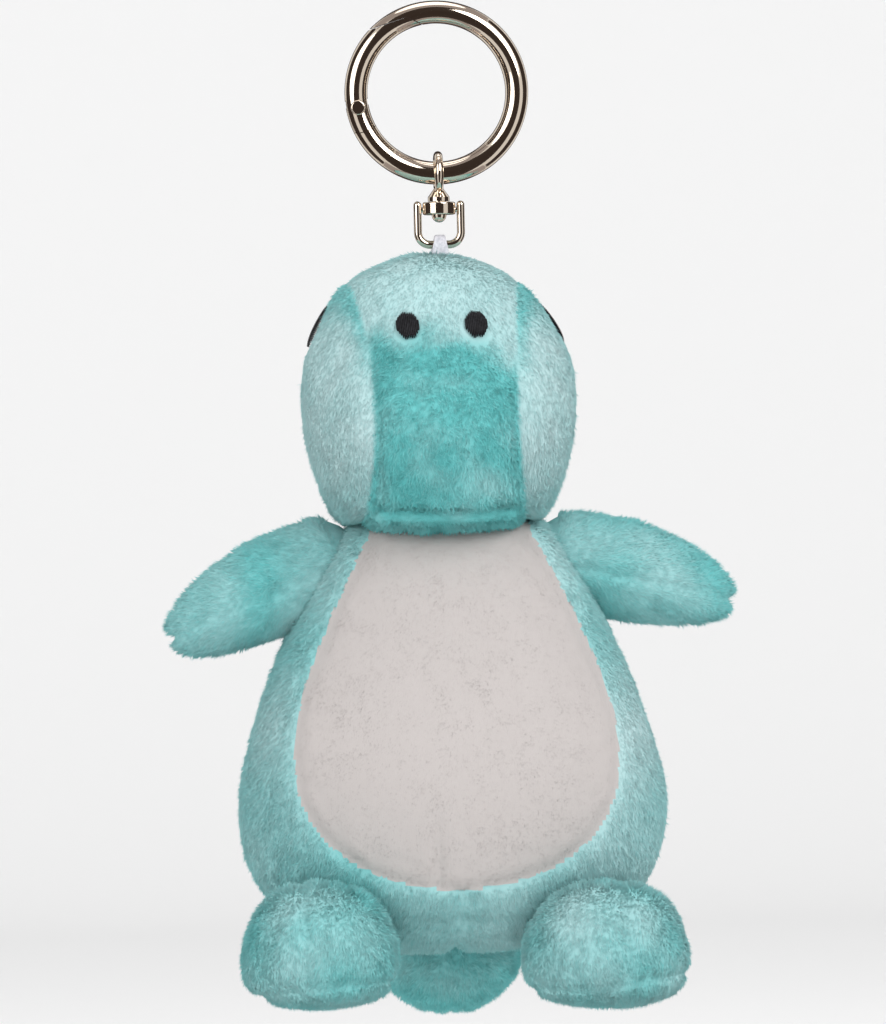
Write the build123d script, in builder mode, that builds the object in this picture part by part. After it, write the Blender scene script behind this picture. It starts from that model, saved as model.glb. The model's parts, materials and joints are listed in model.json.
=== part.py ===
from build123d import *
from math import cos, radians, sin
import os

# A plush dinosaur on a spring-gate key ring.
# Millimetres.  +Z up, the face looks towards -Y, "left" is -X.
# The origin is the top of the ring's hole, where the ring hangs from a hook.

os.makedirs("parts", exist_ok=True)

# ---------------------------------------------------------------- sizes: key ring
ring_hole = 24.0
ring_wire = 4.0
gate_pin_clock = 80.0          # clock angles run from the ring's lowest point towards -X
nose_outer_clock = 127.6       # the slanting seam at the gate's nose: outer, middle and inner point
nose_clock = 158.6
nose_inner_clock = 175.9
nose_outer_reach = 0.76        # in wire thicknesses from the middle of the wire
nose_inner_reach = 0.70
cut_reach = 1.5                # how far the cutting outlines stand off, in wire thicknesses
cut_step = 20.0                # between the corners of the cutting outlines, in degrees
fork_stretch = 35.0            # of the ring that the fork may cover, in degrees
gate_gap = 0.15                # parting gap round the gate
gate_heel_radius = 4.3
gate_pin_diameter = 1.6
pin_head_diameter = 2.6
pin_head_height = 0.4
tongue_thickness = 1.4
tongue_end_radius = 1.9
fork_clearance = 0.5           # past the tongue's round end
running_gap = 0.05             # radial gap of a shaft in its hole
spring_bore_diameter = 1.5
spring_wire = 0.24
spring_turns = 4
spring_stretch = 22.0          # of the ring that the spring's bore takes up, in degrees
plunger_length = 0.9
plunger_edge = 0.1

# ---------------------------------------------------------------- sizes: swivel and shackle
eye_wire = 1.5
eye_gap = 0.3                  # between the eye and the ring wire
neck_lap = 0.2                 # how far the neck reaches into the eye, in wire thicknesses
flange_diameter = 3.8
flange_thickness = 0.7
neck_height = 1.6
rivet_diameter = 1.8
rivet_grip = 1.2               # how far the rivet is driven into the eye
rivet_head_diameter = 2.6
collar_diameter = 5.7
collar_height = 2.2
collar_web = 0.8
collar_edge = 0.3
collar_recess_diameter = 4.0
end_float = 0.15               # along the swivel's axis
shackle_wire = 1.4
shackle_side_gap = 0.2
shackle_pin_diameter = 0.9
shackle_pivot_drop = 1.3       # from the collar's top
shackle_ear = 0.8              # leg above its pivot
shackle_length = 6.1           # pivot to the bottom wire
shackle_corner_radius = 2.15

# ---------------------------------------------------------------- sizes: plush
loop_width = 2.9
loop_thickness = 0.9
loop_gap = 0.15
loop_depth = 5.0               # sewn into the head
crown_gap = 0.8                # under the shackle's bottom wire
fabric = 1.2
thread = 0.35
head_height = 48.6
head_width = 48.2
snout_reach = 29.5
head_back = 22.0
gusset_width = 25.6
chin_height = 3.2
torso_height = 73.0
torso_width = 75.2
torso_front = 26.0
torso_back = 29.5
belly_width = 56.0
belly_height = 61.4
arm_length = 30.8
arm_radius = 8.0
arm_root_inset = 3.6           # from the widest part of the head
arm_shoulder_rise = 1.7        # of the arm's upper side above the neck seam
arm_droop_left = 21.5
arm_droop_right = 12.5
arm_raise = 30.0
arm_lower = 15.0
foot_height = 21.8
foot_width = 28.8
foot_length = 35.0
foot_spread = 24.5
foot_centre_y = -20.5
foot_drop = 8.3                # soles below the torso's lowest point
foot_seam_offset = 3.0
sole_thickness = 4.6
tail_length = 31.0
tail_radius = 12.8
tail_root_y = 20.0
tail_root_rise = 1.5           # above the torso's lowest point
tail_raise = 22.0
tail_lower = 10.0
socket_gap = 0.4
swing_steps = 4
nostril_spread = 5.8
nostril_drop = 13.0
nostril_width = 4.2
nostril_height = 4.9
eye_drop = 12.4
eye_offset_y = 2.0
eye_length = 6.6
eye_height = 7.0

# ---------------------------------------------------------------- places worked out from the sizes
ring_radius = (ring_hole + ring_wire) / 2
ring_z = -ring_hole / 2
ring_low_wire_z = ring_z - ring_radius
eye_radius = (ring_wire + eye_wire) / 2 + eye_gap
eye_inner_low_z = ring_low_wire_z - eye_radius + eye_wire / 2
neck_top_z = eye_inner_low_z - neck_lap * eye_wire
flange_top_z = neck_top_z - neck_height
flange_low_z = flange_top_z - flange_thickness
collar_top_z = flange_low_z - end_float
collar_low_z = collar_top_z - collar_height
web_low_z = collar_top_z - collar_web
pivot_z = collar_top_z - shackle_pivot_drop
shackle_leg_x = (collar_diameter + shackle_wire) / 2 + shackle_side_gap
shackle_low_z = pivot_z - shackle_length
crown_z = shackle_low_z - shackle_wire / 2 - crown_gap
neck_z = crown_z - head_height
arm_root_x = head_width / 2 - arm_root_inset
arm_drop = arm_radius - arm_shoulder_rise
torso_low_z = neck_z - torso_height
sole_z = torso_low_z - foot_drop
arm_root_z = neck_z - arm_drop
tail_root_z = torso_low_z + tail_root_rise

# Soft outlines: drop from the top, half width, front and back, each as a share of its full size.
head_outline = [
    (0.00, 0.17, 0.13, 0.19),
    (0.033, 0.40, 0.30, 0.43),
    (0.093, 0.635, 0.50, 0.64),
    (0.185, 0.79, 0.65, 0.79),
    (0.33, 0.94, 0.77, 0.93),
    (0.49, 1.00, 0.90, 1.00),
    (0.66, 0.97, 1.00, 1.00),
    (0.82, 0.88, 0.97, 0.95),
    (0.93, 0.77, 0.83, 0.86),
    (1.00, 0.58, 0.60, 0.67),
]
torso_outline = [
    (0.00, 0.36, 0.48, 0.45),
    (0.05, 0.46, 0.62, 0.57),
    (0.115, 0.56, 0.72, 0.68),
    (0.20, 0.665, 0.81, 0.77),
    (0.31, 0.76, 0.88, 0.85),
    (0.42, 0.86, 0.95, 0.925),
    (0.54, 0.94, 1.00, 0.98),
    (0.65, 1.00, 1.00, 1.00),
    (0.745, 0.976, 0.965, 0.98),
    (0.84, 0.90, 0.90, 0.905),
    (0.925, 0.745, 0.76, 0.755),
    (0.98, 0.53, 0.55, 0.53),
    (1.00, 0.32, 0.345, 0.30),
]
foot_outline = [
    (0.00, 0.45, 0.45, 0.45),
    (0.13, 0.78, 0.76, 0.76),
    (0.37, 0.97, 0.95, 0.95),
    (0.62, 1.00, 1.00, 1.00),
    (0.83, 0.90, 0.91, 0.91),
    (0.94, 0.66, 0.70, 0.70),
    (1.00, 0.42, 0.45, 0.45),
]
belly_outline = [(0.50, 0.0), (0.79, 0.27), (1.0, 0.60), (0.865, 0.83)]
arm_outline = [(0.33, 1.0), (0.66, 0.82), (0.90, 0.45)]
tail_outline = [(0.26, 0.875), (0.52, 0.67), (0.81, 0.39)]


def finish(builder, name):
    """Label a finished piece and write its file."""
    builder.part.label = name
    export_step(builder.part, "parts/" + name + ".step")


# ---------------------------------------------------------------- key ring
def clock_point(clock, radius):
    """A point of the ring's plane, as (x, z)."""
    angle = radians(clock)
    return (-radius * sin(angle), ring_z - radius * cos(angle))


def toward_clock(start, end):
    """Unit direction between two points of the ring's plane."""
    step = Vector(end[0] - start[0], 0, end[1] - start[1])
    return step.normalized()


pin_x, pin_z = clock_point(gate_pin_clock, ring_radius)
hole_side = ring_radius - cut_reach * ring_wire
open_side = ring_radius + cut_reach * ring_wire

with BuildSketch(Plane.XZ) as gate_stretch:
    with BuildLine():
        Polyline(
            clock_point(gate_pin_clock, hole_side),
            clock_point(gate_pin_clock, open_side),
            clock_point(gate_pin_clock + cut_step, open_side),
            clock_point(nose_outer_clock, ring_radius + nose_outer_reach * ring_wire),
            clock_point(nose_clock, ring_radius),
            clock_point(nose_inner_clock, ring_radius - nose_inner_reach * ring_wire),
            clock_point(gate_pin_clock + 2 * cut_step, hole_side),
            close=True,
        )
    make_face()

with BuildSketch(Plane.XZ) as heel_side:
    with BuildLine():
        Polyline(
            clock_point(gate_pin_clock + 1, hole_side),
            clock_point(gate_pin_clock + 1, open_side),
            clock_point(gate_pin_clock - fork_stretch, open_side),
            clock_point(gate_pin_clock - fork_stretch, hole_side),
            close=True,
        )
    make_face()

with BuildPart() as ring_wire_form:
    with Locations((0, 0, ring_z)):
        Torus(ring_radius, ring_wire / 2, rotation=(90, 0, 0))

# The ring's end is a flat tongue that reaches into the fork of the gate.
with BuildPart() as tongue:
    add(ring_wire_form.part)
    with BuildSketch(Plane.XZ):
        with Locations((pin_x, pin_z)):
            Circle(gate_heel_radius + 3 * gate_gap)
        add(heel_side.sketch, mode=Mode.INTERSECT)
    extrude(amount=tongue_thickness / 2, both=True, mode=Mode.INTERSECT)
    with BuildSketch(Plane.XZ):
        with Locations((pin_x, pin_z)):
            Circle(tongue_end_radius)
    extrude(amount=tongue_thickness / 2, both=True)

with BuildPart() as ring_body:
    add(ring_wire_form.part)
    with BuildSketch(Plane.XZ):
        add(gate_stretch.sketch)
        offset(amount=gate_gap)
        with Locations((pin_x, pin_z)):
            Circle(gate_heel_radius + gate_gap)
    extrude(amount=ring_wire, both=True, mode=Mode.SUBTRACT)
    add(tongue.part)
    with BuildSketch(Plane.XZ):
        with Locations((pin_x, pin_z)):
            Circle(gate_pin_diameter / 2)
    extrude(amount=ring_wire, both=True, mode=Mode.SUBTRACT)
finish(ring_body, "ring_body")

# The spring and its plunger lie in a blind bore that opens into the fork.
bore_far = clock_point(gate_pin_clock + spring_stretch, ring_radius)
bore_direction = toward_clock((pin_x, pin_z), bore_far)
bore_end = Vector(bore_far[0], 0, bore_far[1])
fork_radius = tongue_end_radius + fork_clearance
bore_length = (bore_end - Vector(pin_x, 0, pin_z)).length
bore_plane = Plane(origin=bore_end, x_dir=(0, 1, 0), z_dir=-bore_direction)

with BuildPart() as ring_gate:
    add(ring_wire_form.part)
    with BuildSketch(Plane.XZ):
        add(gate_stretch.sketch)
        with Locations((pin_x, pin_z)):
            Circle(gate_heel_radius)
    extrude(amount=ring_wire, both=True, mode=Mode.INTERSECT)
    with BuildSketch(Plane.XZ):
        with Locations((pin_x, pin_z)):
            Circle(gate_heel_radius + gate_gap)
        add(heel_side.sketch, mode=Mode.INTERSECT)
        with Locations((pin_x, pin_z)):
            Circle(fork_radius)
    extrude(amount=tongue_thickness / 2 + 2 * running_gap, both=True, mode=Mode.SUBTRACT)
    with BuildSketch(Plane.XZ):
        with Locations((pin_x, pin_z)):
            Circle(gate_pin_diameter / 2 + running_gap)
    extrude(amount=ring_wire, both=True, mode=Mode.SUBTRACT)
    with BuildSketch(bore_plane):
        Circle(spring_bore_diameter / 2)
    extrude(amount=bore_length - fork_radius / 2, mode=Mode.SUBTRACT)
finish(ring_gate, "ring_gate")

with BuildPart() as gate_pin:
    with BuildSketch(Plane.XZ):
        with Locations((pin_x, pin_z)):
            Circle(gate_pin_diameter / 2)
    extrude(amount=ring_wire / 2 + 2 * running_gap, both=True)
    for side in (1, -1):
        with BuildSketch(Plane.XZ.offset(side * (ring_wire / 2 + running_gap))):
            with Locations((pin_x, pin_z)):
                Circle(pin_head_diameter / 2)
        extrude(amount=side * pin_head_height)
    fillet(gate_pin.edges().group_by(Axis.Y)[0], pin_head_height * 0.8)
    fillet(gate_pin.edges().group_by(Axis.Y)[-1], pin_head_height * 0.8)
finish(gate_pin, "gate_pin")

spring_length = bore_length - fork_radius - plunger_length
spring_radius = spring_bore_diameter / 2 - spring_wire
with BuildPart() as gate_spring:
    with BuildLine() as coil_line:
        Helix(
            pitch=(spring_length - spring_wire) / spring_turns,
            height=spring_length - spring_wire,
            radius=spring_radius,
            center=bore_end - bore_direction * spring_wire / 2,
            direction=-bore_direction,
        )
    with BuildSketch(Plane(origin=coil_line.line @ 0, z_dir=coil_line.line % 0)):
        Circle(spring_wire / 2)
    sweep(is_frenet=True)
finish(gate_spring, "gate_spring")

with BuildPart() as gate_plunger:
    with BuildSketch(bore_plane.offset(spring_length)):
        Circle(spring_bore_diameter / 2 - running_gap)
    extrude(amount=plunger_length)
    fillet(gate_plunger.edges().filter_by(GeomType.CIRCLE), plunger_edge)
finish(gate_plunger, "gate_plunger")

# ---------------------------------------------------------------- swivel
with BuildPart() as swivel_eye:
    with Locations((0, 0, ring_low_wire_z)):
        Torus(eye_radius, eye_wire / 2, rotation=(0, 90, 0))
    with BuildSketch(Plane.XY.offset(neck_top_z)):
        Circle(eye_wire / 2)
    with BuildSketch(Plane.XY.offset(flange_top_z)):
        Circle(flange_diameter / 2)
    loft()
    with BuildSketch(Plane.XY.offset(flange_low_z)):
        Circle(flange_diameter / 2)
    extrude(amount=flange_thickness)
    with BuildSketch(Plane.XY.offset(flange_low_z)):
        Circle(rivet_diameter / 2)
    extrude(amount=rivet_grip, mode=Mode.SUBTRACT)
finish(swivel_eye, "swivel_eye")

rivet_head_top_z = web_low_z - end_float
rivet_head_mid_z = rivet_head_top_z - rivet_head_diameter / 2
with BuildPart() as swivel_rivet:
    with BuildSketch(Plane.XY.offset(rivet_head_mid_z)):
        Circle(rivet_diameter / 2)
    extrude(amount=flange_low_z + rivet_grip - rivet_head_mid_z)
    with BuildSketch(Plane.XY.offset(rivet_head_mid_z)):
        Circle(rivet_head_diameter / 2)
    extrude(amount=rivet_head_top_z - rivet_head_mid_z)
    with Locations((0, 0, rivet_head_mid_z)):
        Sphere(rivet_head_diameter / 2)
finish(swivel_rivet, "swivel_rivet")

with BuildPart() as swivel_collar:
    with BuildSketch(Plane.XY.offset(collar_low_z)):
        Circle(collar_diameter / 2)
    extrude(amount=collar_height)
    fillet(swivel_collar.edges().filter_by(GeomType.CIRCLE), collar_edge)
    with BuildSketch(Plane.XY.offset(collar_low_z)):
        Circle(rivet_diameter / 2 + running_gap)
    extrude(amount=collar_height, mode=Mode.SUBTRACT)
    with BuildSketch(Plane.XY.offset(collar_low_z)):
        Circle(collar_recess_diameter / 2)
    extrude(amount=web_low_z - collar_low_z, mode=Mode.SUBTRACT)
    with BuildSketch(Plane.YZ):
        with Locations((0, pivot_z)):
            Circle(shackle_pin_diameter / 2 + running_gap)
    extrude(amount=collar_diameter, both=True, mode=Mode.SUBTRACT)
finish(swivel_collar, "swivel_collar")

# ---------------------------------------------------------------- shackle
shackle_top_z = pivot_z + shackle_ear
pin_reach = shackle_leg_x - collar_recess_diameter / 2 - 3 * running_gap
with BuildPart() as shackle:
    with BuildLine(Plane.XZ) as shackle_line:
        FilletPolyline(
            (-shackle_leg_x, shackle_top_z),
            (-shackle_leg_x, shackle_low_z),
            (shackle_leg_x, shackle_low_z),
            (shackle_leg_x, shackle_top_z),
            radius=shackle_corner_radius,
        )
    with BuildSketch(Plane(origin=shackle_line.line @ 0, z_dir=shackle_line.line % 0)):
        Circle(shackle_wire / 2)
    sweep()
    for side in (1, -1):
        with Locations((side * shackle_leg_x, 0, shackle_top_z)):
            Sphere(shackle_wire / 2)
        with BuildSketch(Plane.YZ.offset(side * shackle_leg_x)):
            with Locations((0, pivot_z)):
                Circle(shackle_pin_diameter / 2)
        extrude(amount=-side * pin_reach)
finish(shackle, "shackle")

# ---------------------------------------------------------------- hang loop
loop_inner = shackle_wire / 2 + loop_gap
loop_low_z = crown_z - loop_depth
with BuildPart() as hang_loop:
    with BuildSketch(Plane.YZ):
        with Locations((0, shackle_low_z)):
            Circle(loop_inner + loop_thickness)
        with Locations((0, (shackle_low_z + loop_low_z) / 2)):
            Rectangle(2 * (loop_inner + loop_thickness), shackle_low_z - loop_low_z)
        with Locations((0, shackle_low_z)):
            Circle(loop_inner, mode=Mode.SUBTRACT)
        with Locations((0, (shackle_low_z + loop_low_z) / 2)):
            Rectangle(2 * loop_inner, shackle_low_z - loop_low_z, mode=Mode.SUBTRACT)
    extrude(amount=loop_width / 2, both=True)
finish(hang_loop, "hang_loop")


# ---------------------------------------------------------------- soft forms
def stuffed_form(outline, top_z, size, centre=(0, 0), inset=0.0):
    """A stuffed body of oval cross-sections; size is height, half width, front reach, back reach."""
    height, half_width, front, back = size
    with BuildPart() as form:
        for drop, wide, ahead, behind in outline:
            low = top_z - inset - drop * (height - 2 * inset)
            middle_y = centre[1] + (back * behind - front * ahead) / 2
            half_depth = (back * behind + front * ahead) / 2
            with BuildSketch(Plane.XY.offset(low)):
                with Locations((centre[0], middle_y)):
                    Ellipse(half_width * wide - inset, half_depth - inset)
        loft()
    return form.part


def limb_form(root, direction, side_direction, radius, length, outline, grow=0.0):
    """A limb that is round about its own axis: a ball at the root and a tapering body."""
    ball = radius + grow
    tip = length + grow
    body_points = [(length * share, radius * thick + grow) for share, thick in outline]
    with BuildPart() as form:
        with BuildSketch(Plane(origin=root, x_dir=direction, z_dir=side_direction)):
            with BuildLine():
                CenterArc((0, 0), ball, 90, 90)
                Spline((0, ball), *body_points, (tip, 0), tangents=[(1, 0), (0, -1)])
                Line((tip, 0), (-ball, 0))
            make_face()
        revolve(axis=Axis(root, direction))
    return form.part


def arm_direction(side, droop):
    """Unit direction of an arm that hangs droop degrees under the level."""
    return (side * cos(radians(droop)), 0, -sin(radians(droop)))


def tail_direction(lift):
    """Unit direction of the tail, lift degrees above the level."""
    return (0, cos(radians(lift)), sin(radians(lift)))


def arm_form(side, droop, grow=0.0):
    """One arm at a droop angle."""
    root = (side * arm_root_x, 0, arm_root_z)
    direction = arm_direction(side, droop)
    return limb_form(root, direction, (0, -side, 0), arm_radius, arm_length, arm_outline, grow)


def tail_form(lift, grow=0.0):
    """The tail at a lift angle."""
    root = (0, tail_root_y, tail_root_z)
    direction = tail_direction(lift)
    return limb_form(root, direction, (1, 0, 0), tail_radius, tail_length, tail_outline, grow)


def swing_angles(low, high):
    """Angles from low to high in even steps."""
    return [low + (high - low) * step / swing_steps for step in range(swing_steps + 1)]


def sockets(grow):
    """The room that both arms and the tail take up over their whole swing."""
    with BuildPart() as room:
        for side, droop in ((-1, arm_droop_left), (1, arm_droop_right)):
            for angle in swing_angles(droop - arm_raise, droop + arm_lower):
                add(arm_form(side, angle, grow))
        for angle in swing_angles(-tail_lower, tail_raise):
            add(tail_form(angle, grow))
    return room.part


head_size = (head_height, head_width / 2, snout_reach, head_back)
torso_size = (torso_height, torso_width / 2, torso_front, torso_back)
foot_size = (foot_height, foot_width / 2, foot_length / 2, foot_length / 2)
head_skin = stuffed_form(head_outline, crown_z, head_size)
head_inside = stuffed_form(head_outline, crown_z, head_size, inset=fabric)
head_proud = stuffed_form(head_outline, crown_z, head_size, inset=-thread)
torso_skin = stuffed_form(torso_outline, neck_z, torso_size)
torso_inside = stuffed_form(torso_outline, neck_z, torso_size, inset=fabric)

# ---------------------------------------------------------------- head
with BuildPart() as head_fill:
    add(head_inside)
    add(hang_loop.part, mode=Mode.SUBTRACT)
finish(head_fill, "head_fill")

with BuildPart() as head_shell:
    add(head_skin)
    add(head_inside, mode=Mode.SUBTRACT)
    add(hang_loop.part, mode=Mode.SUBTRACT)

gusset_half = gusset_width / 2
chin_seam_z = neck_z + chin_height
with BuildPart() as chin_room:
    with BuildSketch(Plane.XY.offset(neck_z)):
        with Locations((0, -snout_reach)):
            Rectangle(gusset_width, 2 * snout_reach)
    extrude(amount=chin_height)

with BuildPart() as chin_panel:
    add(head_shell.part)
    add(chin_room.part, mode=Mode.INTERSECT)
finish(chin_panel, "chin_panel")

with BuildPart() as head_gusset:
    add(head_shell.part)
    split(bisect_by=Plane.YZ.offset(gusset_half), keep=Keep.BOTTOM)
    split(bisect_by=Plane.YZ.offset(-gusset_half), keep=Keep.TOP)
    add(chin_room.part, mode=Mode.SUBTRACT)
finish(head_gusset, "head_gusset")

with BuildPart() as head_side_right:
    add(head_shell.part)
    split(bisect_by=Plane.YZ.offset(gusset_half), keep=Keep.TOP)
finish(head_side_right, "head_side_right")

with BuildPart() as head_side_left:
    add(head_shell.part)
    split(bisect_by=Plane.YZ.offset(-gusset_half), keep=Keep.BOTTOM)
finish(head_side_left, "head_side_left")

with BuildPart() as thread_layer:
    add(head_proud)
    add(head_skin, mode=Mode.SUBTRACT)

for side, side_name in ((-1, "left"), (1, "right")):
    with BuildPart() as nostril:
        with BuildSketch(Plane.XZ):
            with Locations((side * nostril_spread, crown_z - nostril_drop)):
                Ellipse(nostril_width / 2, nostril_height / 2)
        extrude(amount=2 * snout_reach)
        add(thread_layer.part, mode=Mode.INTERSECT)
    finish(nostril, "nostril_" + side_name)
    with BuildPart() as eye_patch:
        with BuildSketch(Plane.YZ):
            with Locations((eye_offset_y, crown_z - eye_drop)):
                Ellipse(eye_length / 2, eye_height / 2)
        extrude(amount=side * head_width)
        add(thread_layer.part, mode=Mode.INTERSECT)
    finish(eye_patch, "eye_" + side_name)

# ---------------------------------------------------------------- torso
with BuildPart() as torso_fill:
    add(torso_inside)
    add(sockets(socket_gap + fabric), mode=Mode.SUBTRACT)
finish(torso_fill, "torso_fill")

with BuildPart() as torso_shell:
    add(torso_skin)
    add(sockets(socket_gap), mode=Mode.SUBTRACT)
    add(torso_fill.part, mode=Mode.SUBTRACT)

belly_side = [(belly_width / 2 * wide, neck_z - belly_height * drop) for wide, drop in belly_outline]
belly_mirror = [(-x, z) for x, z in reversed(belly_side)]
with BuildPart() as belly_room:
    with BuildSketch(Plane.XZ):
        with BuildLine():
            Spline(*belly_side, (0, neck_z - belly_height), *belly_mirror)
            Line(belly_mirror[-1], (belly_mirror[-1][0], neck_z + fabric))
            Line((belly_mirror[-1][0], neck_z + fabric), (belly_side[0][0], neck_z + fabric))
            Line((belly_side[0][0], neck_z + fabric), belly_side[0])
        make_face()
    extrude(amount=2 * torso_front)

with BuildPart() as belly_patch:
    add(torso_shell.part)
    add(belly_room.part, mode=Mode.INTERSECT)
finish(belly_patch, "belly_patch")

for side_name, kept_side in (("left", Keep.BOTTOM), ("right", Keep.TOP)):
    with BuildPart() as torso_panel:
        add(torso_shell.part)
        add(belly_room.part, mode=Mode.SUBTRACT)
        split(bisect_by=Plane.YZ, keep=kept_side)
    finish(torso_panel, "torso_" + side_name)

# ---------------------------------------------------------------- arms
for side, side_name, droop in ((-1, "left", arm_droop_left), (1, "right", arm_droop_right)):
    arm_inside = arm_form(side, droop, grow=-fabric)
    with BuildPart() as arm_fill:
        add(arm_inside)
    finish(arm_fill, "arm_" + side_name + "_fill")
    across = Vector(side * sin(radians(droop)), 0, cos(radians(droop)))
    seam_plane = Plane(origin=(side * arm_root_x, 0, arm_root_z), x_dir=(0, 1, 0), z_dir=across)
    for half_name, kept_side in (("upper", Keep.TOP), ("lower", Keep.BOTTOM)):
        with BuildPart() as arm_panel:
            add(arm_form(side, droop))
            add(arm_inside, mode=Mode.SUBTRACT)
            split(bisect_by=seam_plane, keep=kept_side)
        finish(arm_panel, "arm_" + side_name + "_" + half_name)

# ---------------------------------------------------------------- feet
for side, side_name in ((-1, "left"), (1, "right")):
    foot_place = (side * foot_spread, foot_centre_y)
    foot_top_z = sole_z + foot_height
    foot_skin = stuffed_form(foot_outline, foot_top_z, foot_size, foot_place)
    foot_inside = stuffed_form(foot_outline, foot_top_z, foot_size, foot_place, inset=fabric)
    with BuildPart() as foot_fill:
        add(foot_inside)
        add(torso_skin, mode=Mode.SUBTRACT)
    finish(foot_fill, "foot_" + side_name + "_fill")
    with BuildPart() as foot_shell:
        add(foot_skin)
        add(foot_inside, mode=Mode.SUBTRACT)
        add(torso_skin, mode=Mode.SUBTRACT)
    sole_plane = Plane.XY.offset(sole_z + sole_thickness)
    seam_plane = Plane.YZ.offset(side * (foot_spread + foot_seam_offset))
    with BuildPart() as foot_sole:
        add(foot_shell.part)
        split(bisect_by=sole_plane, keep=Keep.BOTTOM)
    finish(foot_sole, "foot_" + side_name + "_sole")
    inner_side = Keep.TOP if side < 0 else Keep.BOTTOM
    outer_side = Keep.BOTTOM if side < 0 else Keep.TOP
    for half_name, kept_side in (("inner", inner_side), ("outer", outer_side)):
        with BuildPart() as foot_panel:
            add(foot_shell.part)
            split(bisect_by=sole_plane, keep=Keep.TOP)
            split(bisect_by=seam_plane, keep=kept_side)
        finish(foot_panel, "foot_" + side_name + "_" + half_name)

# ---------------------------------------------------------------- tail
tail_inside = tail_form(0, grow=-fabric)
with BuildPart() as tail_fill:
    add(tail_inside)
finish(tail_fill, "tail_fill")

for side_name, kept_side in (("left", Keep.BOTTOM), ("right", Keep.TOP)):
    with BuildPart() as tail_panel:
        add(tail_form(0))
        add(tail_inside, mode=Mode.SUBTRACT)
        split(bisect_by=Plane.YZ, keep=kept_side)
    finish(tail_panel, "tail_" + side_name)
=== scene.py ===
import json
import math

import bmesh
import bpy
import numpy as np
from mathutils import Matrix, Vector, noise


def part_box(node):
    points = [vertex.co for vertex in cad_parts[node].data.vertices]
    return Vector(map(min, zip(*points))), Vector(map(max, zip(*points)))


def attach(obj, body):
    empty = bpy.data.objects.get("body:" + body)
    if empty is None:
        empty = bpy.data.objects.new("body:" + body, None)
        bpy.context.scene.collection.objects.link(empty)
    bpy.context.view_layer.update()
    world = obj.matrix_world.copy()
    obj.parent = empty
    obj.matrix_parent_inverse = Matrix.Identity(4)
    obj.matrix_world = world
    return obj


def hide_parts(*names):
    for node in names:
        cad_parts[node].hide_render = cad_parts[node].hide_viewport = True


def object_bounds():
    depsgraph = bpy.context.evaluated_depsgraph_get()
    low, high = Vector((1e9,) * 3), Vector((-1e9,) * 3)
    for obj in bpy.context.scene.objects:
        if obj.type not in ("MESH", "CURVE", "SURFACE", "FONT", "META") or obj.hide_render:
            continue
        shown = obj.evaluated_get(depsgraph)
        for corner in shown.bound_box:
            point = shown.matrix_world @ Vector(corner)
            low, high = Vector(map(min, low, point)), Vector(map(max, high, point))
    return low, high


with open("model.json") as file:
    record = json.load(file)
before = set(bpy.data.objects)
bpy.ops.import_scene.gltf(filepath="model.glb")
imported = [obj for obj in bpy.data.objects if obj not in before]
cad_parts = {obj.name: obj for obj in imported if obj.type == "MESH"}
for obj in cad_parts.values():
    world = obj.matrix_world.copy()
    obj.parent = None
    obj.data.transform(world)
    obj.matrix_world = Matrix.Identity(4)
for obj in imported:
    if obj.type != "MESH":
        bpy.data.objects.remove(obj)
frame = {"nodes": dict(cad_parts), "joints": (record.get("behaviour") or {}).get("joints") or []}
cad_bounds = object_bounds()
noise.seed_set(7)              # so that the noise, and with it the pile, is the same in every run

MM = 0.001
SIM_SCALE = 20.0               # the cloth is simulated this much larger, at the size of a cushion
PILE_DEPTH = 0.75 * MM         # how far the pile stands off the fabric; the skins lie this far inside
PILE_LENGTH = 1.25 * MM
PILE_WIDTH = 0.27 * MM
PILE_DENSITY = 10.0            # tufts in a square millimetre
STITCH_RADIUS = 0.20 * MM
STITCH_LIFT = 0.8 * MM         # how far the embroidery's middle stands off the skin


# ---------------------------------------------------------------- places from the frame
def boxed(*nodes):
    """Lowest and highest corner of several CAD nodes together."""
    boxes = [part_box(node) for node in nodes]
    low = np.min([b[0] for b in boxes], axis=0)
    high = np.max([b[1] for b in boxes], axis=0)
    return np.array(low, float), np.array(high, float)


def joint_place(name):
    """The point of a joint's axis."""
    return np.array(next(j for j in frame["joints"] if j["name"] == name)["pos_m"], float)


def smooth01(low, high, value):
    """0 below low, 1 above high, smooth between."""
    share = np.clip((value - low) / (high - low), 0, 1)
    return share * share * (3 - 2 * share)


def bell(distance, width):
    """1 at distance 0, falling off over width."""
    return np.exp(-(distance / width) ** 2)


def under_pile(low, high, depth=PILE_DEPTH):
    """A box made smaller by the depth of the pile."""
    return low + depth, high - depth


# ---------------------------------------------------------------- meshes
def new_object(name, verts, faces, smooth=True):
    mesh = bpy.data.meshes.new(name)
    mesh.from_pydata([tuple(v) for v in verts], [], [tuple(f) for f in faces])
    mesh.update()
    if smooth:
        mesh.shade_smooth()
    piece = bpy.data.objects.new(name, mesh)
    bpy.context.scene.collection.objects.link(piece)
    return piece


def points(piece):
    found = np.empty(len(piece.data.vertices) * 3)
    piece.data.vertices.foreach_get("co", found)
    return found.reshape(-1, 3)


def set_points(piece, verts):
    piece.data.vertices.foreach_set("co", verts.ravel())
    piece.data.update()


def normals(piece):
    found = np.empty(len(piece.data.vertices) * 3, np.float32)
    piece.data.vertex_normals.foreach_get("vector", found)
    return found.reshape(-1, 3).astype(float)


def apply_modifiers(piece):
    """Keeps what the modifiers show as the piece's own mesh."""
    depsgraph = bpy.context.evaluated_depsgraph_get()
    mesh = bpy.data.meshes.new_from_object(piece.evaluated_get(depsgraph))
    piece.modifiers.clear()
    old = piece.data
    piece.data = mesh
    bpy.data.meshes.remove(old)
    mesh.shade_smooth()


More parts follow.
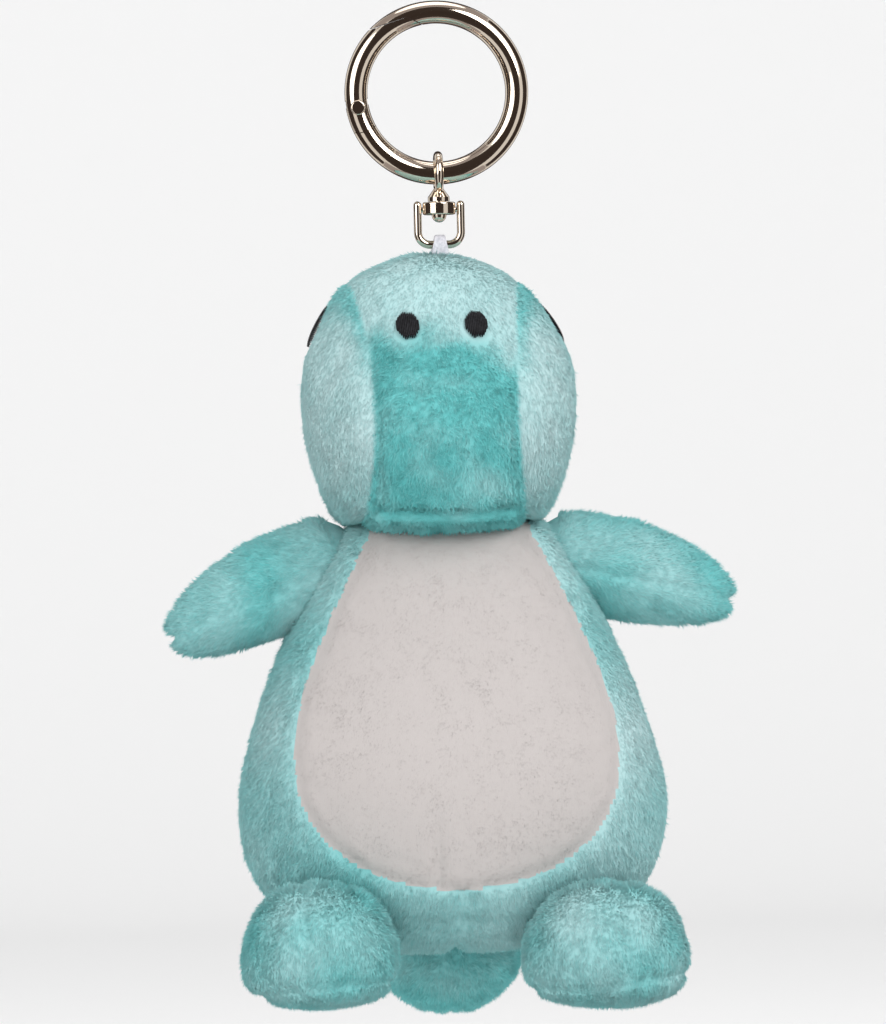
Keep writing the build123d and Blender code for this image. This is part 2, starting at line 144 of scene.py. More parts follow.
def remesh(piece, voxel):
    modifier = piece.modifiers.new("remesh", "REMESH")
    modifier.mode = "VOXEL"
    modifier.voxel_size = voxel
    apply_modifiers(piece)


def relax(piece, rounds):
    modifier = piece.modifiers.new("relax", "SMOOTH")
    modifier.factor = 0.5
    modifier.iterations = rounds
    apply_modifiers(piece)


def subdivide(piece, levels=1):
    modifier = piece.modifiers.new("subdivide", "SUBSURF")
    modifier.levels = levels
    modifier.render_levels = levels
    apply_modifiers(piece)


def inflate(piece, seam_distance, cap, pressure=4.0, frames=20):
    """Fills a sewn cover: the cloth swells between its seams, which stay where they are."""
    rest = points(piece)
    pin = piece.vertex_groups.new(name="seam")
    for index in np.flatnonzero(seam_distance(rest) < 1.1 * MM):
        pin.add([int(index)], 1.0, "REPLACE")
    set_points(piece, rest * SIM_SCALE)
    cloth = piece.modifiers.new("cloth", "CLOTH")
    settings = cloth.settings
    settings.quality = 6
    settings.mass = 0.3
    settings.tension_stiffness = 12
    settings.compression_stiffness = 12
    settings.shear_stiffness = 6
    settings.bending_stiffness = 1.5
    settings.use_pressure = True
    settings.uniform_pressure_force = pressure
    settings.vertex_group_mass = "seam"
    settings.effector_weights.gravity = 0
    scene = bpy.context.scene
    scene.frame_start = 1
    scene.frame_end = frames
    cloth.point_cache.frame_start = 1
    cloth.point_cache.frame_end = frames
    for number in range(1, frames + 1):
        scene.frame_set(number)
    apply_modifiers(piece)
    scene.frame_set(1)
    moved = points(piece) / SIM_SCALE - rest
    moved = np.nan_to_num(moved)
    far = np.linalg.norm(moved, axis=1, keepdims=True)
    set_points(piece, rest + moved * np.minimum(1, cap / np.maximum(far, 1e-9)))
    piece.vertex_groups.clear()


def push(piece, amount):
    """Moves each vertex along its normal by amount, an array or a number."""
    set_points(piece, points(piece) + normals(piece) * np.reshape(amount, (-1, 1)))


def wrinkle(verts, scale, seed):
    """A soft noise in -1..1 for each vertex."""
    shift = Vector((seed * 7.3, seed * 3.1, seed * 5.7))
    return np.array([noise.noise(Vector(v) / scale + shift) for v in verts])


def face_outwards(piece):
    """Turns every face of a closed piece to the outside."""
    mesh = bmesh.new()
    mesh.from_mesh(piece.data)
    bmesh.ops.recalc_face_normals(mesh, faces=mesh.faces)
    mesh.to_mesh(piece.data)
    mesh.free()


# ---------------------------------------------------------------- soft outlines
def curve_through(shares, values, at):
    """A smooth curve through a few values, without overshoot."""
    shares = np.array(shares)
    values = np.array(values)
    slope = np.diff(values) / np.diff(shares)
    before, after = slope[:-1], slope[1:]
    inner = np.where(before * after > 0, 2 * before * after / (before + after + 1e-12), 0)
    tangent = np.concatenate(([slope[0]], inner, [slope[-1]]))
    spot = np.clip(np.searchsorted(shares, at) - 1, 0, len(slope) - 1)
    width = shares[spot + 1] - shares[spot]
    t = (at - shares[spot]) / width
    return (
        (2 * t**3 - 3 * t**2 + 1) * values[spot]
        + (t**3 - 2 * t**2 + t) * width * tangent[spot]
        + (-2 * t**3 + 3 * t**2) * values[spot + 1]
        + (t**3 - t**2) * width * tangent[spot + 1]
    )


def stacked_form(name, outline, low, high, middle_y, rings=72, spokes=96, square=2.0):
    """A closed form of oval rings; outline is (drop, half width, front, back) as shares of the box."""
    drops, wides, fronts, backs = np.array(outline).T
    turn = np.linspace(0, 2 * np.pi, spokes, endpoint=False)
    steps = (1 - np.cos(np.linspace(0, np.pi, rings))) / 2
    centre_x = (low[0] + high[0]) / 2
    half_width = (high[0] - low[0]) / 2
    verts = [(centre_x, middle_y, high[2])]
    for step in steps:
        wide = half_width * curve_through(drops, wides, step)
        front = (middle_y - low[1]) * curve_through(drops, fronts, step)
        back = (high[1] - middle_y) * curve_through(drops, backs, step)
        z = high[2] - step * (high[2] - low[2])
        for angle in turn:
            c, s = math.cos(angle), math.sin(angle)
            x = wide * math.copysign(abs(c) ** (2 / square), c)
            deep = (back if s > 0 else front) * math.copysign(abs(s) ** (2 / square), s)
            verts.append((centre_x + x, middle_y + deep, z))
    verts.append((centre_x, middle_y, low[2]))
    faces = []
    for k in range(spokes):
        nxt = (k + 1) % spokes
        faces.append((0, 1 + k, 1 + nxt))
        for r in range(rings - 1):
            a, b = 1 + r * spokes, 1 + (r + 1) * spokes
            faces.append((a + k, b + k, b + nxt, a + nxt))
        last = 1 + (rings - 1) * spokes
        faces.append((last + nxt, last + k, len(verts) - 1))
    return new_object(name, verts, faces)


def limb_form(name, root, direction, up, stations, rings=48, spokes=48):
    """A closed form about an axis; stations are (along, half height, half depth, rise of the middle)."""
    along, high, deep, rise = np.array(stations).T
    direction = np.array(direction, float)
    up = np.array(up, float)
    side = np.cross(direction, up)
    steps = along[0] + (along[-1] - along[0]) * (1 - np.cos(np.linspace(0, np.pi, rings))) / 2
    verts = []
    for t in steps:
        h = curve_through(along, high, t)
        d = curve_through(along, deep, t)
        middle = root + direction * t + up * curve_through(along, rise, t)
        for angle in np.linspace(0, 2 * np.pi, spokes, endpoint=False):
            verts.append(middle + up * h * math.cos(angle) + side * d * math.sin(angle))
    verts.append(root + direction * along[0] + up * rise[0])
    verts.append(root + direction * along[-1] + up * rise[-1])
    faces = []
    for k in range(spokes):
        nxt = (k + 1) % spokes
        faces.append((k, nxt, len(verts) - 2))
        for r in range(rings - 1):
            a, b = r * spokes, (r + 1) * spokes
            faces.append((a + k, b + k, b + nxt, a + nxt))
        last = (rings - 1) * spokes
        faces.append((last + nxt, last + k, len(verts) - 1))
    piece = new_object(name, verts, faces)
    face_outwards(piece)
    return piece


# ---------------------------------------------------------------- pile
def set_nap_and_sheen(mesh, values):
    """Stores how flat the pile lies, 0 to 1, at each vertex; the material paints this in as pale sheen and
    light.
    """
    layer = mesh.attributes.new("nap", "FLOAT", "POINT")
    layer.data.foreach_set("value", values.astype(np.float32))


def pile(name, skin, body, material, flow, nap_and_sheen_at, keep=None, seed=1, length=PILE_LENGTH,
         width=PILE_WIDTH, density=PILE_DENSITY, length_at=None):
    """Short pile: one closed, three-sided, pointed tuft per root, combed along flow."""
    rng = np.random.default_rng(seed)
    mesh = skin.data
    mesh.calc_loop_triangles()
    corner = np.empty(len(mesh.loop_triangles) * 3, np.int32)
    mesh.loop_triangles.foreach_get("vertices", corner)
    corner = corner.reshape(-1, 3)
    verts = points(skin)
    vert_normals = normals(skin)
    a, b, c = verts[corner[:, 0]], verts[corner[:, 1]], verts[corner[:, 2]]
    area = np.linalg.norm(np.cross(b - a, c - a), axis=1) / 2
    total = int(area.sum() / MM**2 * density)
    chosen = np.searchsorted(np.cumsum(area) / area.sum(), rng.random(total)).clip(0, len(area) - 1)
    u, v = rng.random(total), rng.random(total)
    over = u + v > 1
    u[over], v[over] = 1 - u[over], 1 - v[over]
    w = 1 - u - v
    mix = corner[chosen]
    roots, up = [
        field[mix[:, 0]] * w[:, None] + field[mix[:, 1]] * u[:, None] + field[mix[:, 2]] * v[:, None]
        for field in (verts, vert_normals)
    ]
    if keep is not None:
        kept = keep(roots)
        roots, up = roots[kept], up[kept]
    count = len(roots)
    up /= np.linalg.norm(up, axis=1, keepdims=True)
    comb = flow(roots)
    clump = np.array([noise.noise_vector(Vector(p) / (2.6 * MM)) for p in roots])
    fine = rng.normal(0, 0.22, (count, 3))
    flat = np.clip(nap_and_sheen_at(roots) + rng.normal(0, 0.07, count), 0, 1)
    comb = comb * (0.6 + 0.6 * flat)[:, None] + clump * (0.75 - 0.45 * flat)[:, None] + fine
    comb -= up * np.sum(comb * up, axis=1, keepdims=True)
    aim = up * (0.75 - 0.35 * flat)[:, None] + comb
    aim /= np.linalg.norm(aim, axis=1, keepdims=True)
    long = length * rng.uniform(0.7, 1.15, count)
    if length_at is not None:
        long = long * length_at(roots)
    across = np.cross(aim, up + rng.normal(0, 0.4, (count, 3)))
    across /= np.linalg.norm(across, axis=1, keepdims=True)
    other = np.cross(aim, across)
    base = roots - up * (0.25 * MM)
    thick = width / 2 * rng.uniform(0.75, 1.25, count)
    made = np.empty((count, 4, 3))
    for k in range(3):
        angle = 2 * math.pi * k / 3
        made[:, k] = base + (across * math.cos(angle) + other * math.sin(angle)) * thick[:, None]
    made[:, 3] = base + aim * (long + 0.25 * MM)[:, None]
    start = np.arange(count, dtype=np.int32)[:, None] * 4
    pattern = np.array([[0, 2, 1], [0, 1, 3], [1, 2, 3], [2, 0, 3]], np.int32)
    corners = (start[:, None, :] + pattern[None]).reshape(-1)
    mesh = bpy.data.meshes.new(name)
    mesh.vertices.add(count * 4)
    mesh.vertices.foreach_set("co", made.ravel())
    mesh.loops.add(len(corners))
    mesh.loops.foreach_set("vertex_index", corners)
    mesh.polygons.add(len(corners) // 3)
    mesh.polygons.foreach_set("loop_start", np.arange(0, len(corners), 3, dtype=np.int32))
    mesh.polygons.foreach_set("loop_total", np.full(len(corners) // 3, 3, np.int32))
    mesh.update()
    mesh.validate()
    mesh.shade_smooth()
    lay_out_pile(mesh, count)
    soft = np.empty((count, 4, 3))
    for k in range(3):
        angle = 2 * math.pi * k / 3
        soft[:, k] = up + 0.45 * (across * math.cos(angle) + other * math.sin(angle))
    soft[:, 3] = up + 0.4 * aim
    soft /= np.linalg.norm(soft, axis=2, keepdims=True)
    mesh.normals_split_custom_set_from_vertices(soft.reshape(-1, 3).astype(np.float32))
    # The material paints this flatness in as pale sheen.
    set_nap_and_sheen(mesh, np.repeat(flat, 4))
    piece = bpy.data.objects.new(name, mesh)
    bpy.context.scene.collection.objects.link(piece)
    mesh.materials.append(material)
    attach(piece, body)
    return piece


def lay_out_pile(mesh, count):
    """Each tuft gets a small square of the map to itself."""
    across = math.ceil(math.sqrt(count))
    cell = 1 / across
    tuft = np.arange(count)
    corner = np.stack([tuft % across, tuft // across], 1) * cell
    spots = np.array([[0.1, 0.1], [0.5, 0.9], [0.9, 0.1], [0.5, 0.45]]) * cell
    at = corner[:, None, :] + spots[None]
    vertex = np.empty(len(mesh.loops), np.int32)
    mesh.loops.foreach_get("vertex_index", vertex)
    layer = mesh.uv_layers.new(name="OFBake", do_init=False)
    layer.uv.foreach_set("vector", at.reshape(-1, 2)[vertex].astype(np.float32).ravel())


# ---------------------------------------------------------------- materials
def nodes_of(name):
    material = bpy.data.materials.new(name)
    material.use_nodes = True
    tree = material.node_tree
    return material, tree.nodes, tree.links, tree.nodes["Principled BSDF"]


def noise_node(nodes, links, scale, detail=3.0, rough=0.55):
    place = nodes.new("ShaderNodeTexCoord")
    texture = nodes.new("ShaderNodeTexNoise")
    texture.inputs["Scale"].default_value = scale
    texture.inputs["Detail"].default_value = detail
    texture.inputs["Roughness"].default_value = rough
    links.new(place.outputs["Object"], texture.inputs["Vector"])
    return texture


def ramp_node(nodes, links, source, stops):
    ramp = nodes.new("ShaderNodeValToRGB")
    while len(ramp.color_ramp.elements) < len(stops):
        ramp.color_ramp.elements.new(0.5)
    for element, (place, colour) in zip(ramp.color_ramp.elements, stops):
        element.position = place
        element.color = (*colour, 1)
    links.new(source, ramp.inputs["Fac"])
    return ramp


def plush_material(name, fresh, flat_and_sheen, sheen=0.45, rough=0.9, patch_scale=70.0):
    """Dyed pile: broad uneven patches and a fine fleck; fresh holds the standing pile's colours and the
    second list the flat pile's pale painted sheen, each (dark, middle, pale).

    The nap attribute, 0 to 1, says where the pile lies flat; there it blends in the pale colours, which are
    painted sheen and painted light.
    """
    material, nodes, links, shader = nodes_of(name)
    broad = noise_node(nodes, links, patch_scale, 2.0)
    fleck = noise_node(nodes, links, 900.0, 1.0)
    mix = nodes.new("ShaderNodeMix")
    mix.data_type = "FLOAT"
    mix.inputs["Factor"].default_value = 0.30
    links.new(broad.outputs["Fac"], mix.inputs["A"])
    links.new(fleck.outputs["Fac"], mix.inputs["B"])
    stood = ramp_node(nodes, links, mix.outputs["Result"], list(zip((0.32, 0.5, 0.68), fresh)))
    # the pale ramp paints sheen and top light where the pile lies flat
    lain_sheen = ramp_node(nodes, links, mix.outputs["Result"], list(zip((0.32, 0.5, 0.68), flat_and_sheen)))
    where = nodes.new("ShaderNodeAttribute")
    where.attribute_name = "nap"
    blend = nodes.new("ShaderNodeMix")
    blend.data_type = "RGBA"
    links.new(where.outputs["Fac"], blend.inputs[0])
    links.new(stood.outputs["Color"], blend.inputs[6])
    links.new(lain_sheen.outputs["Color"], blend.inputs[7])
    links.new(blend.outputs[2], shader.inputs["Base Color"])
    shader.inputs["Roughness"].default_value = rough
    shader.inputs["Sheen Weight"].default_value = sheen
    shader.inputs["Sheen Roughness"].default_value = 0.45
    shader.inputs["Sheen Tint"].default_value = (*fresh[2], 1)
    shader.inputs["Specular IOR Level"].default_value = 0.2
    return material


def dimmed(colours, share):
    return [tuple(channel * share for channel in colour) for colour in colours]


def metal_material(name, colour, rough):
    """Polished plating with faint handling marks."""
    material, nodes, links, shader = nodes_of(name)
    shader.inputs["Base Color"].default_value = (*colour, 1)
    shader.inputs["Metallic"].default_value = 1.0
    marks = noise_node(nodes, links, 700.0, 4.0)
    spread = nodes.new("ShaderNodeMapRange")
    spread.inputs["To Min"].default_value = rough * 0.7
    spread.inputs["To Max"].default_value = rough * 1.5
    links.new(marks.outputs["Fac"], spread.inputs["Value"])
    links.new(spread.outputs["Result"], shader.inputs["Roughness"])
    bump = nodes.new("ShaderNodeBump")
    bump.inputs["Strength"].default_value = 0.03
    bump.inputs["Distance"].default_value = 0.0002
    links.new(marks.outputs["Fac"], bump.inputs["Height"])
    links.new(bump.outputs["Normal"], shader.inputs["Normal"])
    return material


def thread_material(name, dark, pale, scale=2200.0):
    material, nodes, links, shader = nodes_of(name)
    grain = noise_node(nodes, links, scale, 2.0)
    ramp = ramp_node(nodes, links, grain.outputs["Fac"], [(0.35, dark), (0.65, pale)])
    links.new(ramp.outputs["Color"], shader.inputs["Base Color"])
    shader.inputs["Roughness"].default_value = 0.55
    shader.inputs["Specular IOR Level"].default_value = 0.25
    bump = nodes.new("ShaderNodeBump")
    bump.inputs["Strength"].default_value = 0.3
    bump.inputs["Distance"].default_value = 0.0001
    links.new(grain.outputs["Fac"], bump.inputs["Height"])
    links.new(bump.outputs["Normal"], shader.inputs["Normal"])
    return material


TEAL = [(0.105, 0.43, 0.43), (0.125, 0.47, 0.47), (0.16, 0.52, 0.52)]
# Pale colours of flat pile: painted sheen and painted top light
TEAL_FLAT_SHEEN = [(0.41, 0.54, 0.55), (0.45, 0.58, 0.59), (0.48, 0.62, 0.63)]
WHITE = [(0.41, 0.38, 0.37), (0.415, 0.385, 0.375), (0.42, 0.39, 0.38)]
teal = plush_material("teal_pile", TEAL, TEAL_FLAT_SHEEN)
teal_backing = plush_material("teal_backing", dimmed(TEAL, 0.85), dimmed(TEAL_FLAT_SHEEN, 0.93), sheen=0.2)
white = plush_material("white_pile", WHITE, WHITE, sheen=0.25)
white_backing = plush_material("white_backing", dimmed(WHITE, 0.95), dimmed(WHITE, 0.95), sheen=0.2)
gold = metal_material("light_gold", (0.80, 0.69, 0.57), 0.06)
steel = metal_material("spring_steel", (0.55, 0.55, 0.57), 0.25)
black_thread = thread_material("black_thread", (0.003, 0.003, 0.004), (0.012, 0.012, 0.015))
tape = thread_material("loop_tape", (0.46, 0.46, 0.50), (0.62, 0.61, 0.65))


def wear(nodes, material):
    """A kept CAD node takes a better material."""
    for node in nodes:
        data = frame["nodes"][node].data
        data.materials.clear()
        data.materials.append(material)


METAL_NODES = ["ring_body", "gate_pin", "ring_gate", "swivel_eye", "swivel_rivet", "swivel_collar", "shackle"]
wear(METAL_NODES, gold)
wear(["gate_spring", "gate_plunger"], steel)

# ---------------------------------------------------------------- head
HEAD_NODES = ["head_gusset", "chin_panel", "head_side_left", "head_side_right", "head_fill"]
HEAD_OUTLINE = [
    (0.00, 0.00, 0.00, 0.00),
    (0.012, 0.21, 0.19, 0.27),
    (0.05, 0.43, 0.36, 0.48),
    (0.093, 0.60, 0.49, 0.63),
    (0.136, 0.70, 0.575, 0.72),
    (0.22, 0.81, 0.68, 0.82),
    (0.307, 0.905, 0.755, 0.91),
    (0.39, 0.975, 0.82, 0.96),
    (0.49, 1.00, 0.90, 1.00),
    (0.60, 0.99, 0.97, 1.00),
    (0.69, 0.955, 1.00, 0.99),
    (0.78, 0.905, 0.985, 0.96),
    (0.864, 0.845, 0.965, 0.91),
    (0.93, 0.77, 0.925, 0.84),
    (0.975, 0.64, 0.82, 0.70),
    (1.00, 0.00, 0.00, 0.00),
]
HEAD_TURN_X = -0.9 * MM        # the stuffed head sits a little to the left
CROWN_LEAN_X = -0.9 * MM       # and its crown leans further that way
head_low, head_high = boxed(*HEAD_NODES)
head_low[2] -= 0.4 * MM
head_high[2] += 0.8 * MM
head_tall = head_high[2] - head_low[2]
gusset_low, gusset_high = boxed("head_gusset")
gusset_half = (gusset_high[0] - gusset_low[0]) / 2
chin_high = boxed("chin_panel")[1]


def gusset_edge(p):
    """Half width of the head's centre strip at a height: it is narrowest at the cheeks."""
    share = (head_high[2] - p[:, 2]) / head_tall
    return gusset_half * (0.955 + 0.85 * (share - 0.55) ** 2)


def gusset_seam(p):
    """Distance from the two seams between the centre strip and the cheeks."""
    return np.abs(np.abs(p[:, 0]) - gusset_edge(p))


def mouth_seam(p):
    """Distance from the mouth crease, a shallow smile across the front of the centre strip."""
    line = chin_high[2] + 0.6 * MM - 1.3 * MM * np.cos(p[:, 0] / gusset_half * 1.4)
    reach = smooth01(0.0, 6 * MM, -p[:, 1]) * (1 - smooth01(gusset_half, gusset_half * 1.15, np.abs(p[:, 0])))
    return np.abs(p[:, 2] - line) + (1 - reach) * 0.02


def head_seams(p):
    return np.minimum(gusset_seam(p), mouth_seam(p))


def lean_head(piece):
    """Moves a piece of the head with the stuffing's lean."""
    p = points(piece)
    share = (head_high[2] - p[:, 2]) / head_tall
    p[:, 0] += HEAD_TURN_X + CROWN_LEAN_X * (1 - smooth01(0.0, 0.45, share))
    set_points(piece, p)


def make_head():
    skin = stacked_form("head_skin", HEAD_OUTLINE, *under_pile(head_low, head_high), 0.0, square=2.1)
    remesh(skin, 1.5 * MM)
    relax(skin, 4)
    inflate(skin, head_seams, 1.6 * MM)
    relax(skin, 2)
    subdivide(skin)
    p = points(skin)
    cheek_z, snout_z = head_low[2] + 0.42 * head_tall, head_low[2] + 0.30 * head_tall
    cheek = smooth01(gusset_half, gusset_half * 1.35, np.abs(p[:, 0])) * bell(p[:, 2] - cheek_z, 16 * MM)
    snout = bell(p[:, 0], 11 * MM) * smooth01(0, 15 * MM, -p[:, 1]) * bell(p[:, 2] - snout_z, 10 * MM)
    push(skin, 0.3 * MM * cheek + 0.7 * MM * snout)
    p = points(skin)
    lower = smooth01(0.25, 0.6, (head_high[2] - p[:, 2]) / head_tall)
    dip = (0.12 + 0.70 * lower) * MM * bell(gusset_seam(p), 1.2 * MM)
    dip = dip + 2.0 * MM * bell(mouth_seam(p), 1.1 * MM)
    pad = 0.25 * MM * lower * bell(gusset_seam(p) - 3.2 * MM, 2.0 * MM)
    push(skin, pad - dip + 0.25 * MM * wrinkle(p, 9 * MM, 1))
    set_nap_and_sheen(skin.data, head_nap_and_sheen(points(skin)))
    skin.data.materials.append(teal_backing)
    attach(skin, "plush")
    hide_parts(*HEAD_NODES)
    return skin


def head_nap_and_sheen(p):
    """Flat pile on the forehead and the cheeks, painted pale there as sheen and top light; fresh on the front
    of the snout and in the seams.
    """
    across = p[:, 0] / gusset_half
    share = (head_high[2] - p[:, 2]) / head_tall
    ragged = wrinkle(p, 5 * MM, 4)
    gusset = 1 - smooth01(-0.3 * MM, 0.5 * MM, np.abs(p[:, 0]) - gusset_edge(p))
    ahead = smooth01(0.0, 6 * MM, -p[:, 1])
    brow = 0.355 + 0.055 * across - 0.035 * bell(across, 0.35) + 0.04 * ragged
    snout = gusset * ahead * smooth01(brow - 0.07, brow + 0.06, share)
    pale_spot = 0.30 * bell(share - 0.83, 0.06) * bell(across - 0.35, 0.4)
    beside = (1 - gusset) * bell(gusset_seam(p), 2.2 * MM) * bell(share - 0.27, 0.17)
    temple = (1 - gusset) * bell(share - 0.13, 0.10) * (1 - smooth01(6 * MM, 11 * MM, gusset_seam(p)))
    # painted top light: the cheeks are paler higher up
    cheek = 0.80 - 0.35 * smooth01(0.70, 1.0, share)
    # the painted sheen fades towards the back
    behind = smooth01(0.0, 12 * MM, p[:, 1])
    flat_and_sheen = gusset * (0.74 - 0.08 * smooth01(0.2, 0.34, share)) + (1 - gusset) * cheek
    flat_and_sheen = flat_and_sheen * (1 - np.clip(0.75 * beside + 0.7 * temple, 0, 0.8))
    flat_and_sheen = flat_and_sheen * (1 - snout) + snout * (0.04 + pale_spot + 0.12 * ragged)
    return np.clip(flat_and_sheen * (1 - 0.45 * behind) + 0.10 * ragged, 0, 1)


def patchy_nap_and_sheen(level, spread, seed, scale=9 * MM):
    """An even level of flat pile, painted pale as sheen, with broad lighter and fresher patches."""
    return lambda p: np.clip(level + spread * wrinkle(p, scale, seed), 0, 1)


def head_flow(p):
    """The nap falls down and outwards from the crown on all sides."""
    flow = p * (1.0, 1.0, 0.0)
    flow /= np.linalg.norm(flow, axis=1, keepdims=True) + 1e-6
    flow[:, 2] = -1.0
    return flow


def near_patch(p, node, grow):
    """Whether a point lies under an embroidered patch."""
    low, high = boxed(node)
    centre = (low + high) / 2
    half = (high - low) / 2 + grow
    off = (p - centre) / half
    return np.linalg.norm(off, axis=1) < 1.25


def head_length(p):
    """The pile is a little shorter along the seams and almost gone in the mouth crease."""
    by_seam = 0.75 + 0.25 * smooth01(0.0, 1.4 * MM, gusset_seam(p))
    return by_seam * (0.25 + 0.75 * smooth01(0.3 * MM, 1.5 * MM, mouth_seam(p)))


def seam_length(seams, floor=0.45, reach=1.4 * MM):
    """The pile is shorter where a seam pulls it in."""
    return lambda p: floor + (1 - floor) * smooth01(0.0, reach, seams(p))


# ---------------------------------------------------------------- torso
TORSO_NODES = ["torso_left", "torso_right", "belly_patch", "torso_fill"]
TORSO_OUTLINE = [
    (0.00, 0.00, 0.00, 0.00),
    (0.01, 0.40, 0.46, 0.43),
    (0.05, 0.52, 0.62, 0.57),
    (0.115, 0.61, 0.72, 0.68),
    (0.20, 0.69, 0.81, 0.77),
    (0.31, 0.79, 0.88, 0.85),
    (0.42, 0.88, 0.95, 0.925),
    (0.54, 0.957, 1.00, 0.98),
    (0.65, 1.00, 1.00, 1.00),
    (0.745, 0.985, 0.965, 0.98),
    (0.84, 0.92, 0.90, 0.905),
    (0.925, 0.77, 0.76, 0.755),
    (0.98, 0.52, 0.50, 0.48),
    (1.00, 0.00, 0.00, 0.00),
]
torso_low, torso_high = boxed(*TORSO_NODES)
belly_low, belly_high = boxed("belly_patch")
belly_half = (belly_high[0] - belly_low[0]) / 2
belly_tall = belly_high[2] - belly_low[2]
BELLY_OUTLINE = [
    (0.0, 0.50), (0.07, 0.58), (0.27, 0.79), (0.45, 0.94), (0.60, 1.0),
    (0.72, 0.98), (0.83, 0.865), (0.93, 0.61), (0.985, 0.26), (1.0, 0.0),
]
belly_drops, belly_wides = np.array(BELLY_OUTLINE).T
outline_drop = np.linspace(-0.12, 1.0, 400)
outline_wide = curve_through(belly_drops, belly_wides, np.clip(outline_drop, 0, 1)) * belly_half
outline_wide = outline_wide + np.minimum(outline_drop, 0) * 0.3 * belly_half
outline_z = belly_high[2] - outline_drop * belly_tall


def belly_inside(p):
    """How far a point lies inside the belly patch's outline, in metres; negative outside it."""
    best = np.full(len(p), 1.0)
    for x, z in zip(outline_wide[::2], outline_z[::2]):
        best = np.minimum(best, np.hypot(np.abs(p[:, 0]) - x, p[:, 2] - z))
    drop = (belly_high[2] - p[:, 2]) / belly_tall
    wide = np.interp(drop, outline_drop, outline_wide, left=outline_wide[0], right=-1.0)
    inside = (np.abs(p[:, 0]) < wide) & (p[:, 1] < 0)
    best = np.where(p[:, 1] < 0, best, 0.02)
    return np.where(inside, best, -best)


def torso_centre_seam(p):
    """Distance from the centre seam, under the belly patch in front and all the way down the back."""
    covered = (p[:, 1] < 0) & (belly_inside(p) > -0.5 * MM)
    return np.where(covered, 0.02, np.abs(p[:, 0]))


def torso_seams(p):
    return np.minimum(np.abs(belly_inside(p)), torso_centre_seam(p))


def make_torso():
    low, high = under_pile(torso_low, torso_high)
    high[2] += 4 * MM
    skin = stacked_form("torso_skin", TORSO_OUTLINE, low, high, 0.0, square=2.1)
    remesh(skin, 1.8 * MM)
    relax(skin, 4)
    inflate(skin, torso_seams, 1.8 * MM)
    relax(skin, 2)
    subdivide(skin)
    p = points(skin)
    inside = belly_inside(p)
    dip = 0.45 * MM * bell(inside, 1.3 * MM) + 0.6 * MM * bell(torso_centre_seam(p), 1.2 * MM)
    pucker = 0.15 * MM * bell(np.abs(inside) - 2.5 * MM, 3 * MM) * wrinkle(p, 3.0 * MM, 5)
    crease_z = belly_low[2] + 5.5 * MM
    crease = bell(p[:, 0] + 4.2 * MM, 1.1 * MM) * bell(p[:, 2] - crease_z, 6 * MM) * (p[:, 1] < 0)
    fold = bell(p[:, 2] - (belly_low[2] - 5.5 * MM), 1.2 * MM) * bell(p[:, 0], 8 * MM) * (p[:, 1] < 0)
    push(skin, pucker - dip - 0.6 * MM * crease - 0.7 * MM * fold + 0.35 * MM * wrinkle(p, 13 * MM, 2))
    set_nap_and_sheen(skin.data, torso_nap_and_light(points(skin)))
    skin.data.materials.append(teal_backing)
    skin.data.materials.append(white_backing)
    centres = np.empty(len(skin.data.polygons) * 3)
    skin.data.polygons.foreach_get("center", centres)
    white_face = (belly_inside(centres.reshape(-1, 3)) > 0).astype(np.int32)
    skin.data.polygons.foreach_set("material_index", white_face)
    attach(skin, "plush")
    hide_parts(*TORSO_NODES)
    return skin


def torso_nap_and_light(p):
    """Painted light: paler towards the right flank, where the light falls stronger, with uneven patches."""
    return np.clip(0.42 + 0.25 * smooth01(10 * MM, 36 * MM, p[:, 0]) + 0.30 * wrinkle(p, 14 * MM, 6), 0, 1)


def torso_flow(p):
    flow = np.zeros_like(p)
    flow[:, 2] = -1.0
    flow[:, 0] = 0.25 * np.sign(p[:, 0])
    return flow


